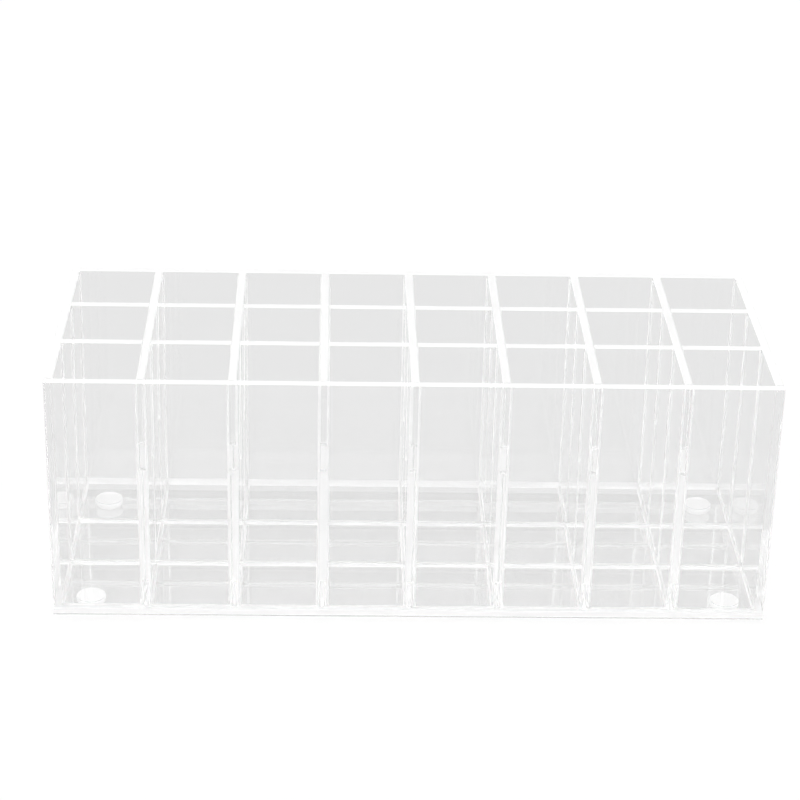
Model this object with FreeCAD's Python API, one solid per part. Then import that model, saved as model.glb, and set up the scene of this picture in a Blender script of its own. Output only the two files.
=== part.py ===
"""Vanity organizer: an open box of clear acrylic sheet with a crossed divider grid, on four stick-on feet."""
import FreeCAD, Part
import math
import os
from FreeCAD import Vector

os.makedirs("parts", exist_ok=True)

# Driving dimensions, in millimetres. The frame's origin is on the table, under the middle of the box.
# +X runs to the right along the front, +Y from the front to the back, +Z up.
box_width = 240.0            # left to right, over the ends of the front panel
box_depth = 96.0             # front to back, over the front and back panels
wall_height = 84.0           # panels and dividers, above the base plate
base_thickness = 2.8
wall_thickness = 2.8
divider_thickness = 2.8
eased_edge = 0.3             # small chamfer on the edges that a hand meets

cells_across = 8
cells_deep = 3

lap_clearance = 0.1          # on each side of a divider, in the slot of the divider that it crosses
lap_end_gap = 0.25           # from half height to the end of each slot

foot_diameter = 10.0
foot_flat_diameter = 6.0     # the part of a foot that touches the table
foot_height = 2.8
foot_rim_height = 0.8        # straight band of a foot, next to the base plate
foot_side_inset = 11.7       # foot's centre to the box's left or right face
foot_front_inset = 12.0      # foot's centre to the box's front or back face
adhesive_margin = 0.3        # ring of the foot that the film leaves free
adhesive_thickness = 0.2

same_place = 1e-6            # how far apart two numbers for one place may be

# Levels, from the table up
base_bottom = foot_height + adhesive_thickness
base_top = base_bottom + base_thickness
rim = base_top + wall_height
half_height = base_top + wall_height / 2

# Faces and pitches, seen from above
right_face = box_width / 2
back_face = box_depth / 2
inner_right = right_face - wall_thickness
inner_back = back_face - wall_thickness
cell_width = (2 * inner_right - (cells_across - 1) * divider_thickness) / cells_across
cell_depth = (2 * inner_back - (cells_deep - 1) * divider_thickness) / cells_deep
slot_width = divider_thickness + 2 * lap_clearance

along_x, along_y, along_z = Vector(1, 0, 0), Vector(0, 1, 0), Vector(0, 0, 1)

# Middle planes of the dividers, from the left and from the front
cross_places = [
    -inner_right + column * (cell_width + divider_thickness) - divider_thickness / 2
    for column in range(1, cells_across)
]
long_places = [
    -inner_back + row * (cell_depth + divider_thickness) - divider_thickness / 2
    for row in range(1, cells_deep)
]


def sheet(low, high):
    """A flat piece of sheet between two opposite corners."""
    size = Vector(*high) - Vector(*low)
    return Part.makeBox(size.x, size.y, size.z, Vector(*low))


def runs_along(edge, axis):
    """Whether an edge runs along a row axis: X, Y or Z."""
    step = edge.Vertexes[-1].Point - edge.Vertexes[0].Point
    return step.cross(axis).Length < same_place


def at_level(edge, level):
    """Whether an edge lies flat at a height."""
    return all(abs(corner.Z - level) < same_place for corner in edge.Vertexes)


def ease(solid, edges):
    """The solid with a small chamfer on some of its edges."""
    return solid.makeChamfer(eased_edge, edges)


def base_plate():
    """The full-size floor that every wall and divider stands on."""
    plate = sheet((-right_face, -back_face, base_bottom), (right_face, back_face, base_top))
    outer = [edge for edge in plate.Edges if at_level(edge, base_bottom) or runs_along(edge, along_z)]
    return ease(plate, outer)


def end_to_end_panel(outer_y, inner_y):
    """The front or back panel, which covers the ends of the two side panels."""
    low_y, high_y = min(outer_y, inner_y), max(outer_y, inner_y)
    panel = sheet((-right_face, low_y, base_top), (right_face, high_y, rim))
    top = [edge for edge in panel.Edges if at_level(edge, rim)]
    corners = [
        edge for edge in panel.Edges
        if runs_along(edge, along_z) and abs(edge.CenterOfMass.y - outer_y) < same_place
    ]
    return ease(panel, top + corners)


def side_panel(outer_x, inner_x):
    """The left or right panel, between the front and back panels."""
    low_x, high_x = min(outer_x, inner_x), max(outer_x, inner_x)
    panel = sheet((low_x, -inner_back, base_top), (high_x, inner_back, rim))
    top = [edge for edge in panel.Edges if at_level(edge, rim) and runs_along(edge, along_y)]
    return ease(panel, top)


def long_divider(middle_y):
    """A divider from side panel to side panel, slotted from the top for the cross dividers."""
    half = divider_thickness / 2
    divider = sheet((-inner_right, middle_y - half, base_top), (inner_right, middle_y + half, rim))
    top = [edge for edge in divider.Edges if at_level(edge, rim) and runs_along(edge, along_x)]
    divider = ease(divider, top)
    for middle_x in cross_places:
        low = (middle_x - slot_width / 2, middle_y - divider_thickness, half_height - lap_end_gap)
        high = (middle_x + slot_width / 2, middle_y + divider_thickness, rim + divider_thickness)
        divider = divider.cut(sheet(low, high))
    return divider


def cross_divider(middle_x):
    """A divider from front to back, slotted from below, which drops over the long dividers."""
    half = divider_thickness / 2
    divider = sheet((middle_x - half, -inner_back, base_top), (middle_x + half, inner_back, rim))
    top = [edge for edge in divider.Edges if at_level(edge, rim) and runs_along(edge, along_y)]
    divider = ease(divider, top)
    for middle_y in long_places:
        low = (middle_x - divider_thickness, middle_y - slot_width / 2, base_top - divider_thickness)
        high = (middle_x + divider_thickness, middle_y + slot_width / 2, half_height + lap_end_gap)
        divider = divider.cut(sheet(low, high))
    return divider


def foot(x, y):
    """A soft bumper: a short straight band under the plate, then a rounded side down to a flat."""
    radius = foot_diameter / 2
    flat = foot_flat_diameter / 2
    shoulder = foot_height - foot_rim_height
    part_way = math.radians(45)
    middle = Vector(
        flat + (radius - flat) * math.sin(part_way), 0, shoulder * (1 - math.cos(part_way)),
    )
    centre_low, centre_high = Vector(0, 0, 0), Vector(0, 0, foot_height)
    flat_end, round_end = Vector(flat, 0, 0), Vector(radius, 0, shoulder)
    rim_end = Vector(radius, 0, foot_height)
    outline = Part.Wire([
        Part.makeLine(centre_low, flat_end),
        Part.Arc(flat_end, middle, round_end).toShape(),
        Part.makeLine(round_end, rim_end),
        Part.makeLine(rim_end, centre_high),
        Part.makeLine(centre_high, centre_low),
    ])
    bumper = Part.Face(outline).revolve(centre_low, along_z, 360)
    bumper.translate(Vector(x, y, 0))
    return bumper


def foot_adhesive(x, y):
    """The thin round film that holds a foot to the base plate."""
    radius = foot_diameter / 2 - adhesive_margin
    return Part.makeCylinder(radius, adhesive_thickness, Vector(x, y, foot_height))


# Every piece by its node name
pieces = {
    "base_plate": base_plate(),
    "front_panel": end_to_end_panel(-back_face, -inner_back),
    "back_panel": end_to_end_panel(back_face, inner_back),
    "left_panel": side_panel(-right_face, -inner_right),
    "right_panel": side_panel(right_face, inner_right),
}
for number, place in enumerate(long_places, start=1):
    pieces[f"long_divider_{number}"] = long_divider(place)
for number, place in enumerate(cross_places, start=1):
    pieces[f"cross_divider_{number}"] = cross_divider(place)

foot_x = right_face - foot_side_inset
foot_y = back_face - foot_front_inset
foot_corners = {
    "front_left": (-foot_x, -foot_y),
    "front_right": (foot_x, -foot_y),
    "back_left": (-foot_x, foot_y),
    "back_right": (foot_x, foot_y),
}
for corner, (x, y) in foot_corners.items():
    pieces[f"foot_{corner}"] = foot(x, y)
    pieces[f"foot_adhesive_{corner}"] = foot_adhesive(x, y)

for name, solid in pieces.items():
    solid.exportStep(f"parts/{name}.step")
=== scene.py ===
"""Looks of the vanity organizer: clear acrylic sheets with sawn edges and cement lines, on milky feet."""

import math
from itertools import product

import bmesh
import bpy
from mathutils import Matrix, Vector
from mathutils.noise import noise as noise_at


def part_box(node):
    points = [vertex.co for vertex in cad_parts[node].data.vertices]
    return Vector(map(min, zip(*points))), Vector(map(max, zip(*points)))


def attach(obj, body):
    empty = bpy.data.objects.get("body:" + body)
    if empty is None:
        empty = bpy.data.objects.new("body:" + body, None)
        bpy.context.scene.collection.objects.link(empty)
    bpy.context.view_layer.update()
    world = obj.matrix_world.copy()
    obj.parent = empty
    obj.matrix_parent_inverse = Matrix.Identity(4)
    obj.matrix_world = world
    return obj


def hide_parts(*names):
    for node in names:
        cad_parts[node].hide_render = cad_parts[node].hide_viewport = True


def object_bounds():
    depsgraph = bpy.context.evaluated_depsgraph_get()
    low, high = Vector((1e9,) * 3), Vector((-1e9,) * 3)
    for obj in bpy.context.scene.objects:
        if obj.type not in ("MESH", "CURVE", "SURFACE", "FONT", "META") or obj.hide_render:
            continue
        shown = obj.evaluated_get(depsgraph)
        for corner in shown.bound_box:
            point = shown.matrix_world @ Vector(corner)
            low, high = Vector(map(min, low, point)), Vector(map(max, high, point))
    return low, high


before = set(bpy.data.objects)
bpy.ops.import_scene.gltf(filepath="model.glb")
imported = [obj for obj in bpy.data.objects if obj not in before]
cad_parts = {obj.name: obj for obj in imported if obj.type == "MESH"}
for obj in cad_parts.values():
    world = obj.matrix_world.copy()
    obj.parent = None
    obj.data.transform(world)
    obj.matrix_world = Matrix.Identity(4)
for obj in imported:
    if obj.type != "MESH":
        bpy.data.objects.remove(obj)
cad_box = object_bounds()

MM = 0.001
X, Y, Z = range(3)
WHITE = (1.0, 1.0, 1.0, 1.0)
WHITE_LEVEL = 1.0               # strength that the camera sees as white

# Sheets, in metres
SLOT_CLEARANCE = 0.1 * MM       # each side of a divider in the slot that it crosses
SLOT_END_GAP = 0.25 * MM        # from half height to a slot's end
EASED_EDGE = 0.3 * MM           # chamfer along the open edges
CEMENTED_ARRIS = 0.06 * MM      # what is left of the corner along a cemented edge
CEMENT_GAP = 0.02 * MM          # film of cement between two sheets
EDGE_MARGIN = 0.3 * MM          # strip beside the chamfer, such as the one that the cement didn't wet

# Cement beads, in metres
FLOOR_BEAD = 0.8 * MM           # cement squeezed out along the foot of each wall
BACK_BEAD_RISE = 2.4 * MM       # how far it was wiped up the back panel
CORNER_BEAD = 0.45 * MM         # and along the upright corners
BEAD_HOLLOW = 0.3               # how far a bead's face stays from the corner, as a share of its leg
BEAD_UNEVENNESS = 0.12          # share by which a bead swells and thins
BEAD_WAVE = 20.0 * MM           # length of its swells
BEAD_STEP = 3.5 * MM            # from one section of a bead to the next
BEAD_TOP_GAP = 1.5 * MM         # from an upright bead's end to the rim

# Feet, in metres
FOOT_FLAT_RADIUS = 3.0 * MM
FOOT_INNER_RING = 2.1 * MM      # ring inside the flat, so that its faces stay short
FOOT_BAND = 0.8 * MM            # straight band under the plate
FOOT_TOP_ROUND = 0.12 * MM
FOOT_SIDES = 64
FOOT_CURVE_STEPS = 10
FILM_SQUEEZE = 0.22 * MM        # how far the film was pressed out past its cut edge

# Kinds of sheet edge, and their looks from one broad face to the other
OPEN, POLISHED, MILLED, SLOT = "open", "polished", "milled", "slot"
SEATED, STANDING, BUTT, CORNER = "seated", "standing", "butt", "corner"
CLEAR, SAWN, SMOOTHED = range(3)
EDGE_LOOKS = {                  # chamfer, margin, middle, margin and chamfer
    OPEN: (SAWN, SAWN, SAWN, SAWN, SAWN),
    POLISHED: (CLEAR, CLEAR, CLEAR, CLEAR, CLEAR),
    MILLED: (CLEAR, CLEAR, SMOOTHED, SMOOTHED, SMOOTHED),
    SLOT: (SAWN, SAWN, SAWN, SAWN, SAWN),
    SEATED: (SAWN, SAWN, SAWN, SAWN, SAWN),
    STANDING: (SAWN, SAWN, CLEAR, SAWN, SAWN),
    BUTT: (SAWN, CLEAR, CLEAR, CLEAR, SAWN),
    CORNER: (CLEAR, CLEAR, CLEAR, CLEAR, CLEAR),
}
CEMENTED = (SEATED, STANDING, BUTT, CORNER)

# Materials: scales are per metre, and pairs are a lowest and a highest value
PLAIN_DETAIL = 2.0              # octaves of noise
FINE_DETAIL = 3.0
PLAIN_GRAIN = 0.5               # how much the finer octaves of noise count

ACRYLIC_IOR = 1.49
CLEAR_TRANSMISSION = 1.0
SMUDGE_SCALE = 45.0
SMUDGE_DETAIL = 4.0
SMUDGE_GRAIN = 0.6
SMUDGE_NOISE = (0.55, 0.8)      # noise at which a smudge begins, and at which it is full
SMUDGE_ROUGHNESS = (0.0, 0.03)

SAWN_TRANSMISSION = 0.4
SAWN_GRAIN_SCALE = 2600.0
SAWN_ROUGHNESS = (0.5, 0.8)
SAW_MARK_SCALE = 300.0
SAW_MARK_DISTORTION = 3.0
SAW_MARK_DETAIL_SCALE = 3.0
SAW_MARK_STRENGTH = 0.15
SAW_MARK_DEPTH = 0.05 * MM

MILLED_TRANSMISSION = 0.62
MILLED_GRAIN_SCALE = 1800.0
MILLED_ROUGHNESS = (0.4, 0.6)

CEMENT_TRANSMISSION = 0.5
CEMENT_BUBBLE_SCALE = 1200.0
CEMENT_GREYS = (0.985, 1.0)
CEMENT_ROUGHNESS = (0.5, 0.8)

FOOT_IOR = 1.41
FOOT_TRANSMISSION = 0.05
FOOT_GRAIN_SCALE = 900.0
FOOT_GREYS = (0.96, 1.0)
FOOT_ROUGHNESS = (0.3, 0.45)

FILM_IOR = 1.47
FILM_GRAIN_SCALE = 1400.0
FILM_ROUGHNESS = (0.0, 0.02)

# Floor and light
FLOOR_SIZE = 6.0                # metres
FLOOR_COLOUR = (0.95, 0.95, 0.95, 1.0)
FLOOR_SHOWN = 0.85              # share of the floor that shows the plain background
SEEN_THROUGH_GREY = 0.75        # the plain background as the acrylic shows it
FLOOR_GLOSS = 0.5               # share that the polished patch under the object mirrors
FLOOR_GLOSS_RISE = (0.2, 0.44)  # Layer Weight's facing at which it starts to mirror, and mirrors most
FLOOR_GLOSS_ROUGHNESS = 0.03
SKY_LEVEL = 0.79
SOFTBOX_LEVEL = 2.1
SOFTBOX_DIRECTION = (-0.15, -0.55, 0.82)
SOFTBOX_SPREAD = (0.2, 1.0)     # cosine from the softbox's middle where its light has faded, and its middle
LIGHT_BOUNCES = 400             # the edges of a sheet show light that ran along it
DIFFUSE_BOUNCES = 64

# Camera
CAMERA_AZIMUTH = math.radians(-1.839)     # from straight in front, towards the right
CAMERA_ELEVATION = math.radians(25.69)
CAMERA_ROLL = math.radians(-1.373)
CAMERA_DISTANCE = 832.31 * MM
CAMERA_TARGET = Vector((-3.46, 0.0, 61.5)) * MM
CAMERA_SENSOR = 36.0            # sensor and lens in millimetres
CAMERA_LENS = 108.35
CAMERA_REACH = 20.0             # metres


# Nodes that several materials use

def spread(tree, value, to_range, from_range=(0.0, 1.0)):
    """A value moved from one range to another."""
    node = tree.nodes.new("ShaderNodeMapRange")
    node.inputs["From Min"].default_value, node.inputs["From Max"].default_value = from_range
    node.inputs["To Min"].default_value, node.inputs["To Max"].default_value = to_range
    tree.links.new(value, node.inputs["Value"])
    return node.outputs["Result"]


def combine(tree, operation, first, second):
    """Two values put together by an operation such as MULTIPLY or MAXIMUM."""
    node = tree.nodes.new("ShaderNodeMath")
    node.operation = operation
    tree.links.new(first, node.inputs[0])
    tree.links.new(second, node.inputs[1])
    return node.outputs["Value"]


def mix_shaders(tree, share, first, second):
    """The first shader, with a share of the second."""
    node = tree.nodes.new("ShaderNodeMixShader")
    tree.links.new(share, node.inputs["Fac"])
    tree.links.new(first, node.inputs[1])
    tree.links.new(second, node.inputs[2])
    return node.outputs["Shader"]


def object_places(tree):
    """The output that gives places on the object, in metres."""
    return tree.nodes.new("ShaderNodeTexCoord").outputs["Object"]


def noise(tree, scale, detail=PLAIN_DETAIL, grain=PLAIN_GRAIN):
    """A noise texture over the object."""
    node = tree.nodes.new("ShaderNodeTexNoise")
    node.inputs["Scale"].default_value = scale
    node.inputs["Detail"].default_value = detail
    node.inputs["Roughness"].default_value = grain
    tree.links.new(object_places(tree), node.inputs["Vector"])
    return node.outputs["Fac"]


# Materials

def empty_material(name):
    """A material with nothing but its output."""
    material = bpy.data.materials.new(name)
    material.use_nodes = True
    tree = material.node_tree
    tree.nodes.clear()
    output = tree.nodes.new("ShaderNodeOutputMaterial")
    return material, tree, output.inputs["Surface"]


def plastic(name, transmission, ior):
    """A white plastic that lets a share of the light through."""
    material, tree, surface = empty_material(name)
    shader = tree.nodes.new("ShaderNodeBsdfPrincipled")
    shader.inputs["Base Color"].default_value = WHITE
    shader.inputs["Transmission Weight"].default_value = transmission
    shader.inputs["IOR"].default_value = ior
    tree.links.new(shader.outputs["BSDF"], surface)
    return material, tree, shader


def greys(tree, shader, value, levels):
    """Colour from a value: greys between two levels."""
    node = tree.nodes.new("ShaderNodeValToRGB")
    for element, level in zip(node.color_ramp.elements, levels):
        element.color = (level, level, level, 1.0)
    tree.links.new(value, node.inputs["Fac"])
    tree.links.new(node.outputs["Color"], shader.inputs["Base Color"])


def roughness(tree, shader, value, levels, from_range=(0.0, 1.0)):
    """Roughness from a value, between two levels."""
    tree.links.new(spread(tree, value, levels, from_range), shader.inputs["Roughness"])


def clear_acrylic():
    """Polished faces of the sheet, with faint smudges."""
    material, tree, shader = plastic("clear_acrylic", CLEAR_TRANSMISSION, ACRYLIC_IOR)
    smudges = noise(tree, SMUDGE_SCALE, SMUDGE_DETAIL, SMUDGE_GRAIN)
    roughness(tree, shader, smudges, SMUDGE_ROUGHNESS, SMUDGE_NOISE)
    return material


def saw_marks(tree, shader):
    """Slanted marks of the saw's teeth, as relief."""
    marks = tree.nodes.new("ShaderNodeTexWave")
    marks.wave_type = "BANDS"
    marks.bands_direction = "DIAGONAL"
    marks.inputs["Scale"].default_value = SAW_MARK_SCALE
    marks.inputs["Distortion"].default_value = SAW_MARK_DISTORTION
    marks.inputs["Detail"].default_value = PLAIN_DETAIL
    marks.inputs["Detail Scale"].default_value = SAW_MARK_DETAIL_SCALE
    tree.links.new(object_places(tree), marks.inputs["Vector"])
    relief = tree.nodes.new("ShaderNodeBump")
    relief.inputs["Strength"].default_value = SAW_MARK_STRENGTH
    relief.inputs["Distance"].default_value = SAW_MARK_DEPTH
    tree.links.new(marks.outputs["Fac"], relief.inputs["Height"])
    tree.links.new(relief.outputs["Normal"], shader.inputs["Normal"])


def sawn_edge():
    """Cut edges, frosted white by the saw."""
    material, tree, shader = plastic("sawn_edge", SAWN_TRANSMISSION, ACRYLIC_IOR)
    roughness(tree, shader, noise(tree, SAWN_GRAIN_SCALE, FINE_DETAIL), SAWN_ROUGHNESS)
    saw_marks(tree, shader)
    return material


def milled_edge():
    """The base plate's edges, smoothed after the saw, so that more light comes through them."""
    material, tree, shader = plastic("milled_edge", MILLED_TRANSMISSION, ACRYLIC_IOR)
    roughness(tree, shader, noise(tree, MILLED_GRAIN_SCALE, FINE_DETAIL), MILLED_ROUGHNESS)
    return material


def cement():
    """Beads of cured cement, milky from fine bubbles."""
    material, tree, shader = plastic("cement", CEMENT_TRANSMISSION, ACRYLIC_IOR)
    bubbles = noise(tree, CEMENT_BUBBLE_SCALE, FINE_DETAIL)
    greys(tree, shader, bubbles, CEMENT_GREYS)
    roughness(tree, shader, bubbles, CEMENT_ROUGHNESS)
    return material


def foot_silicone():
    """Milky soft bumper."""
    material, tree, shader = plastic("foot_silicone", FOOT_TRANSMISSION, FOOT_IOR)
    grain = noise(tree, FOOT_GRAIN_SCALE)
    greys(tree, shader, grain, FOOT_GREYS)
    roughness(tree, shader, grain, FOOT_ROUGHNESS)
    return material


def foot_adhesive():
    """Clear adhesive film between a foot and the base plate."""
    material, tree, shader = plastic("foot_adhesive", CLEAR_TRANSMISSION, FILM_IOR)
    roughness(tree, shader, noise(tree, FILM_GRAIN_SCALE), FILM_ROUGHNESS)
    return material


SHEET_MATERIALS = [clear_acrylic(), sawn_edge(), milled_edge()]
CEMENT_MATERIAL = cement()
FOOT_MATERIAL = foot_silicone()
FILM_MATERIAL = foot_adhesive()


# Sheets

def add_piece(name, mesh_builder, materials, node=None):
    """A finished mesh as a piece of the object, which may stand for a CAD node."""
    mesh = bpy.data.meshes.new(name)
    bmesh.ops.recalc_face_normals(mesh_builder, faces=mesh_builder.faces)
    mesh_builder.to_mesh(mesh)
    mesh_builder.free()
    for material in materials:
        mesh.materials.append(material)
    piece = bpy.data.objects.new(name, mesh)
    bpy.context.scene.collection.objects.link(piece)
    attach(piece, "root")
    if node:
        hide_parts(node)


def flat_box(node, thin):
    """A node's two opposite corners in the plane of its sheet."""
    low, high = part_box(node)
    across, up = [axis for axis in range(3) if axis != thin]
    return (low[across], low[up]), (high[across], high[up])


def rectangle(low, high, kinds):
    """Corners of a plain sheet, anticlockwise, each with the kind of the edge that starts there."""
    (u0, v0), (u1, v1) = low, high
    bottom, right, top, left = kinds
    return [(u0, v0, bottom), (u1, v0, right), (u1, v1, top), (u0, v1, left)]


def slotted_from_top(low, high, slots, slot_end):
    """Corners of a divider with open slots in its top edge."""
    (u0, v0), (u1, v1) = low, high
    corners = [(u0, v0, STANDING), (u1, v0, BUTT), (u1, v1, OPEN)]
    for left, right in sorted(slots, reverse=True):
        corners += [(right, v1, SLOT), (right, slot_end, SLOT), (left, slot_end, SLOT), (left, v1, OPEN)]
    return corners + [(u0, v1, BUTT)]


def slotted_from_below(low, high, slots, slot_end):
    """Corners of a divider with open slots in its bottom edge."""
    (u0, v0), (u1, v1) = low, high
    corners = [(u0, v0, STANDING)]
    for left, right in sorted(slots):
        corners += [(left, v0, SLOT), (left, slot_end, SLOT), (right, slot_end, SLOT), (right, v0, STANDING)]
    return corners + [(u1, v0, BUTT), (u1, v1, OPEN), (u0, v1, BUTT)]


def crossing_slots(nodes, axis):
    """Where the dividers that cross this one cut it, along an axis."""
    slots = []
    for node in nodes:
        low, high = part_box(node)
        slots.append((low[axis] - SLOT_CLEARANCE, high[axis] + SLOT_CLEARANCE))
    return slots


def inset_corners(corners, insets):
    """The outline with each edge moved inwards by its own amount."""
    count = len(corners)
    points = [Vector(corner[:2]) for corner in corners]
    shifts = []
    for index in range(count):
        along = (points[(index + 1) % count] - points[index]).normalized()
        shifts.append(Vector((-along.y, along.x)) * insets[index])
    return [points[index] + shifts[index - 1] + shifts[index] for index in range(count)]


def sheet_rings(builder, node, thin, corners):
    """The sheet's outline at six depths through its thickness, which leave a chamfer at each face."""
    low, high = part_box(node)
    across, up = [axis for axis in range(3) if axis != thin]
    gaps = [CEMENT_GAP if kind in CEMENTED else 0.0 for _, _, kind in corners]
    arrises = [CEMENTED_ARRIS if kind in CEMENTED else EASED_EDGE for _, _, kind in corners]
    face_insets = [gap + arris for gap, arris in zip(gaps, arrises)]
    margin_end = EASED_EDGE + EDGE_MARGIN
    depths = [
        (low[thin], face_insets), (low[thin] + EASED_EDGE, gaps), (low[thin] + margin_end, gaps),
        (high[thin] - margin_end, gaps), (high[thin] - EASED_EDGE, gaps), (high[thin], face_insets),
    ]
    rings = []
    for depth, insets in depths:
        ring = []
        for point in inset_corners(corners, insets):
            place = [0.0, 0.0, 0.0]
            place[thin], place[across], place[up] = depth, point.x, point.y
            ring.append(builder.verts.new(place))
        rings.append(ring)
    return rings


def build_sheet(node, thin, corners):
    """A sheet with chamfered edges, whose looks go by the kind of each edge."""
    builder = bmesh.new()
    rings = sheet_rings(builder, node, thin, corners)
    for index, (_, _, kind) in enumerate(corners):
        after = (index + 1) % len(corners)
        for near, far, look in zip(rings, rings[1:], EDGE_LOOKS[kind]):
            face = builder.faces.new((near[index], near[after], far[after], far[index]))
            face.material_index = look
    for ring in (rings[0], rings[-1]):
        builder.faces.new(ring).material_index = CLEAR
    add_piece(f"{node}_sheet", builder, SHEET_MATERIALS, node)


LONG_DIVIDERS = sorted(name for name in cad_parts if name.startswith("long_divider"))
CROSS_DIVIDERS = sorted(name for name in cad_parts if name.startswith("cross_divider"))


def sheets():
    """The base plate, the four panels and the dividers."""
    build_sheet("base_plate", Z, rectangle(*flat_box("base_plate", Z), [MILLED] * 4))
    for node in ("front_panel", "back_panel"):
        build_sheet(node, Y, rectangle(*flat_box(node, Y), (SEATED, POLISHED, OPEN, POLISHED)))
    for node in ("left_panel", "right_panel"):
        build_sheet(node, X, rectangle(*flat_box(node, X), (SEATED, CORNER, OPEN, CORNER)))
    low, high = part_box(LONG_DIVIDERS[0])
    half_height = (low.z + high.z) / 2
    for node in LONG_DIVIDERS:
        slots = crossing_slots(CROSS_DIVIDERS, X)
        build_sheet(node, Y, slotted_from_top(*flat_box(node, Y), slots, half_height - SLOT_END_GAP))
    for node in CROSS_DIVIDERS:
        slots = crossing_slots(LONG_DIVIDERS, Y)
        build_sheet(node, X, slotted_from_below(*flat_box(node, X), slots, half_height + SLOT_END_GAP))


# Cement beads along the inner corners of each cell

def free_spans(nodes, axis):
    """The clear spans between neighbouring sheets, along an axis."""
    boxes = sorted((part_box(node)[0][axis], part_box(node)[1][axis]) for node in nodes)
    return [(near[1], far[0]) for near, far in zip(boxes, boxes[1:])]


def stations(low, high):
    """Evenly spaced places from one end of a bead to the other."""
    count = max(2, round((high - low) / BEAD_STEP))
    return [low + (high - low) * step / count for step in range(count + 1)]


def inward(value, span):
    """Which way the cell lies from a place on its rim: 1 at the low end, -1 at the high end, else 0."""
    low, high = span
    return (value == low) - (value == high)


def bead_section(leg, rise, place):
    """The four corners of a bead's hollow-faced section, as distances from its two walls."""
    swell = 1 + BEAD_UNEVENNESS * noise_at(place / BEAD_WAVE)
    leg, rise = leg * swell, rise * swell
    hollow = (BEAD_HOLLOW * leg, BEAD_HOLLOW * rise)
    return [(CEMENT_GAP, CEMENT_GAP), (leg, CEMENT_GAP), hollow, (CEMENT_GAP, rise)]


def join_sections(builder, pairs):
    """Skins each pair of neighbouring sections."""
    for near, far in pairs:
        for index in range(len(near)):
            after = (index + 1) % len(near)
            builder.faces.new((near[index], near[after], far[after], far[index]))


def floor_bead(builder, across, deep, level):
    """One closed bead along the four sides of a cell's floor."""
    (x0, x1), (y0, y1) = across, deep
    row, column = stations(x0, x1), stations(y0, y1)[1:-1]
    rim = [(x, y0) for x in row] + [(x1, y) for y in column]
    rim += [(x, y1) for x in reversed(row)] + [(x0, y) for y in reversed(column)]
    back_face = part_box("back_panel")[0].y
    sections = []
    for x, y in rim:
        rise = BACK_BEAD_RISE if y == back_face else FLOOR_BEAD
        inward_x, inward_y = inward(x, across), inward(y, deep)
        section = []
        for inset, height in bead_section(FLOOR_BEAD, rise, Vector((x, y, level))):
            corner = (x + inward_x * inset, y + inward_y * inset, level + height)
            section.append(builder.verts.new(corner))
        sections.append(section)
    join_sections(builder, zip(sections, sections[1:] + sections[:1]))


def corner_bead(builder, x, y, inward_x, inward_y, heights):
    """One bead up an inner corner of a cell."""
    sections = []
    for z in heights:
        section = []
        for inset_x, inset_y in bead_section(CORNER_BEAD, CORNER_BEAD, Vector((x, y, z))):
            section.append(builder.verts.new((x + inward_x * inset_x, y + inward_y * inset_y, z)))
        sections.append(section)
    join_sections(builder, zip(sections, sections[1:]))
    builder.faces.new(sections[0])
    builder.faces.new(sections[-1])


def cement_beads():
    """The beads of all the cells. The laps, and the front corners of the box, have no upright bead."""
    builder = bmesh.new()
    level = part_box("base_plate")[1].z
    low = level + BACK_BEAD_RISE * (1 + BEAD_UNEVENNESS)
    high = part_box("front_panel")[1].z - BEAD_TOP_GAP
    columns = free_spans(["left_panel", *CROSS_DIVIDERS, "right_panel"], X)
    rows = free_spans(["front_panel", *LONG_DIVIDERS, "back_panel"], Y)
    sides = (columns[0][0], columns[-1][1])
    front, back = rows[0][0], rows[-1][1]
    for across, deep in product(columns, rows):
        floor_bead(builder, across, deep, level)
        for x, y in product(across, deep):
            has_upright_bead = y == back or (x in sides) != (y == front)
            if has_upright_bead:
                corner_bead(builder, x, y, inward(x, across), inward(y, deep), stations(low, high))
    add_piece("cement_beads", builder, [CEMENT_MATERIAL])


# Feet

def lathe(node, profile, material):
    """A round piece from (radius, height) points, about the middle of a CAD node."""
    low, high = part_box(node)
    middle = (low + high) / 2
    builder = bmesh.new()
    rings = []
    for radius, height in profile:
        sides = FOOT_SIDES if radius else 1
        ring = []
        for side in range(sides):
            turn = 2 * math.pi * side / FOOT_SIDES
            x, y = middle.x + radius * math.cos(turn), middle.y + radius * math.sin(turn)
            ring.append(builder.verts.new((x, y, height)))
        rings.append(ring)
    for lower, upper in zip(rings, rings[1:]):
        flat = lower[0].co.z == upper[0].co.z
        for side in range(FOOT_SIDES):
            after = (side + 1) % FOOT_SIDES
            corners = [lower[side % len(lower)], lower[after % len(lower)]]
            corners += [upper[after % len(upper)], upper[side % len(upper)]]
            face = builder.faces.new(list(dict.fromkeys(corners)))
            face.smooth = not flat
    add_piece(f"{node}_round", builder, [material], node)


def foot_profile(node):
    """Outline of a bumper from the middle of its flat, round its side, to the middle of its top."""
    low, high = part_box(node)
    radius = (high.x - low.x) / 2
    shoulder = high.z - FOOT_BAND
    top = high.z - CEMENT_GAP
    points = [(0.0, low.z), (FOOT_INNER_RING, low.z)]
    for step in range(FOOT_CURVE_STEPS + 1):
        turn = math.pi / 2 * step / FOOT_CURVE_STEPS
        points.append((
            FOOT_FLAT_RADIUS + (radius - FOOT_FLAT_RADIUS) * math.sin(turn),
            low.z + (shoulder - low.z) * (1 - math.cos(turn)),
        ))
    return points + [(radius, high.z - FOOT_TOP_ROUND), (radius - FOOT_TOP_ROUND, top), (0.0, top)]


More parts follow.
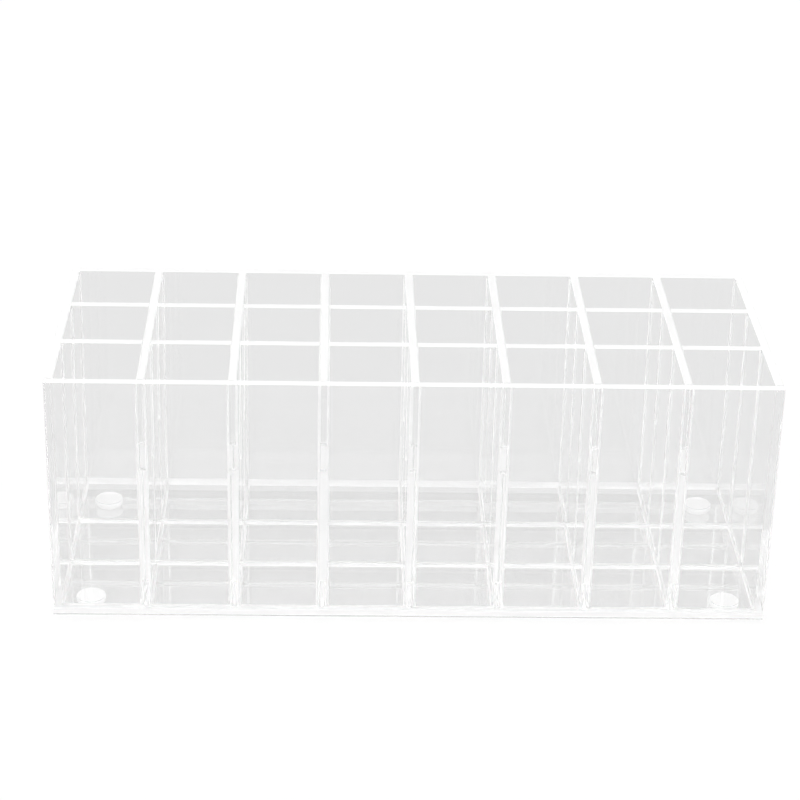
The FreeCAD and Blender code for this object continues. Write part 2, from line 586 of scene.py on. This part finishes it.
def film_profile(node):
    """Outline of the adhesive film, a disc with a soft edge."""
    low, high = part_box(node)
    radius = (high.x - low.x) / 2 + FILM_SQUEEZE
    bottom, top = low.z + CEMENT_GAP, high.z - CEMENT_GAP
    return [
        (0.0, bottom), (radius - CEMENT_GAP, bottom), (radius, bottom + CEMENT_GAP),
        (radius, top - CEMENT_GAP), (radius - CEMENT_GAP, top), (0.0, top),
    ]


def feet():
    """The four bumpers and the films that hold them."""
    for node in sorted(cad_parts):
        if node.startswith("foot_adhesive"):
            lathe(node, film_profile(node), FILM_MATERIAL)
        elif node.startswith("foot_"):
            lathe(node, foot_profile(node), FOOT_MATERIAL)


# Floor, light and camera

def floor_material(name, polished):
    """White to the camera and pale grey through the acrylic, with part of the object's shadow."""
    material, tree, surface = empty_material(name)
    path = tree.nodes.new("ShaderNodeLightPath").outputs
    through_object = combine(tree, "MAXIMUM", path["Is Glossy Ray"], path["Is Transmission Ray"])
    seen = combine(tree, "MAXIMUM", path["Is Camera Ray"], through_object)
    diffuse = tree.nodes.new("ShaderNodeBsdfDiffuse")
    diffuse.inputs["Color"].default_value = FLOOR_COLOUR
    shown = tree.nodes.new("ShaderNodeEmission")
    level = spread(tree, path["Is Camera Ray"], (SEEN_THROUGH_GREY, WHITE_LEVEL))
    tree.links.new(level, shown.inputs["Strength"])
    shown_share = spread(tree, seen, (0.0, FLOOR_SHOWN))
    shader = mix_shaders(tree, shown_share, diffuse.outputs["BSDF"], shown.outputs["Emission"])
    if polished:
        gloss = tree.nodes.new("ShaderNodeBsdfGlossy")
        gloss.inputs["Color"].default_value = WHITE
        gloss.inputs["Roughness"].default_value = FLOOR_GLOSS_ROUGHNESS
        facing = tree.nodes.new("ShaderNodeLayerWeight").outputs["Facing"]
        low_angle = spread(tree, facing, (0.0, FLOOR_GLOSS), FLOOR_GLOSS_RISE)
        gloss_share = combine(tree, "MULTIPLY", low_angle, through_object)
        shader = mix_shaders(tree, gloss_share, shader, gloss.outputs["BSDF"])
    tree.links.new(shader, surface)
    return material


def floor():
    """A pale floor of nine faces, whose middle one, under the object, mirrors the sheets above it."""
    half = FLOOR_SIZE / 2
    low, high = cad_box
    columns = (-half, low.x, high.x, half)
    rows = (-half, low.y, high.y, half)
    corners = [(x, y, 0.0) for y in rows for x in columns]
    faces = []
    for row in range(len(rows) - 1):
        for column in range(len(columns) - 1):
            near = row * len(columns) + column
            far = near + len(columns)
            faces.append((near, near + 1, far + 1, far))
    mesh = bpy.data.meshes.new("floor")
    mesh.from_pydata(corners, [], faces)
    mesh.materials.append(floor_material("floor", False))
    mesh.materials.append(floor_material("floor_polished", True))
    under_object = mesh.polygons[len(faces) // 2]
    under_object.material_index = mesh.materials.find("floor_polished")
    plane = bpy.data.objects.new("floor", mesh)
    bpy.context.scene.collection.objects.link(plane)


def sky():
    """Soft light from a dome with a bright side above the front, and a white background to the camera."""
    world = bpy.data.worlds.new("studio")
    bpy.context.scene.world = world
    world.use_nodes = True
    tree = world.node_tree
    tree.nodes.clear()
    output = tree.nodes.new("ShaderNodeOutputWorld")
    background = tree.nodes.new("ShaderNodeBackground")
    towards = tree.nodes.new("ShaderNodeVectorMath")
    towards.operation = "DOT_PRODUCT"
    towards.inputs[1].default_value = SOFTBOX_DIRECTION
    tree.links.new(tree.nodes.new("ShaderNodeTexCoord").outputs["Generated"], towards.inputs[0])
    dome = spread(tree, towards.outputs["Value"], (SKY_LEVEL, SOFTBOX_LEVEL), SOFTBOX_SPREAD)
    path = tree.nodes.new("ShaderNodeLightPath")
    level = tree.nodes.new("ShaderNodeMix")
    level.data_type = "FLOAT"
    tree.links.new(path.outputs["Is Camera Ray"], level.inputs[0])
    tree.links.new(dome, level.inputs[2])
    level.inputs[3].default_value = WHITE_LEVEL
    tree.links.new(level.outputs[0], background.inputs["Strength"])
    tree.links.new(background.outputs["Background"], output.inputs["Surface"])


def camera():
    """The photograph's view."""
    back = Vector((
        math.sin(CAMERA_AZIMUTH) * math.cos(CAMERA_ELEVATION),
        -math.cos(CAMERA_AZIMUTH) * math.cos(CAMERA_ELEVATION),
        math.sin(CAMERA_ELEVATION),
    ))
    right = (-back).cross(Vector((0, 0, 1))).normalized()
    up = right.cross(-back).normalized()
    rolled_right = math.cos(CAMERA_ROLL) * right - math.sin(CAMERA_ROLL) * up
    rolled_up = math.sin(CAMERA_ROLL) * right + math.cos(CAMERA_ROLL) * up
    data = bpy.data.cameras.new("camera")
    data.sensor_width = CAMERA_SENSOR
    data.lens = CAMERA_LENS
    data.clip_end = CAMERA_REACH
    view = bpy.data.objects.new("camera", data)
    turn = Matrix((rolled_right, rolled_up, back)).transposed().to_4x4()
    view.matrix_world = Matrix.Translation(CAMERA_TARGET + back * CAMERA_DISTANCE) @ turn
    bpy.context.scene.collection.objects.link(view)
    bpy.context.scene.camera = view


sheets()
cement_beads()
feet()
floor()
sky()
camera()

scene = bpy.context.scene
scene.view_settings.view_transform = "Standard"
scene.cycles.blur_glossy = 0.0
scene.cycles.max_bounces = LIGHT_BOUNCES
scene.cycles.transmission_bounces = LIGHT_BOUNCES
scene.cycles.glossy_bounces = LIGHT_BOUNCES
scene.cycles.diffuse_bounces = DIFFUSE_BOUNCES
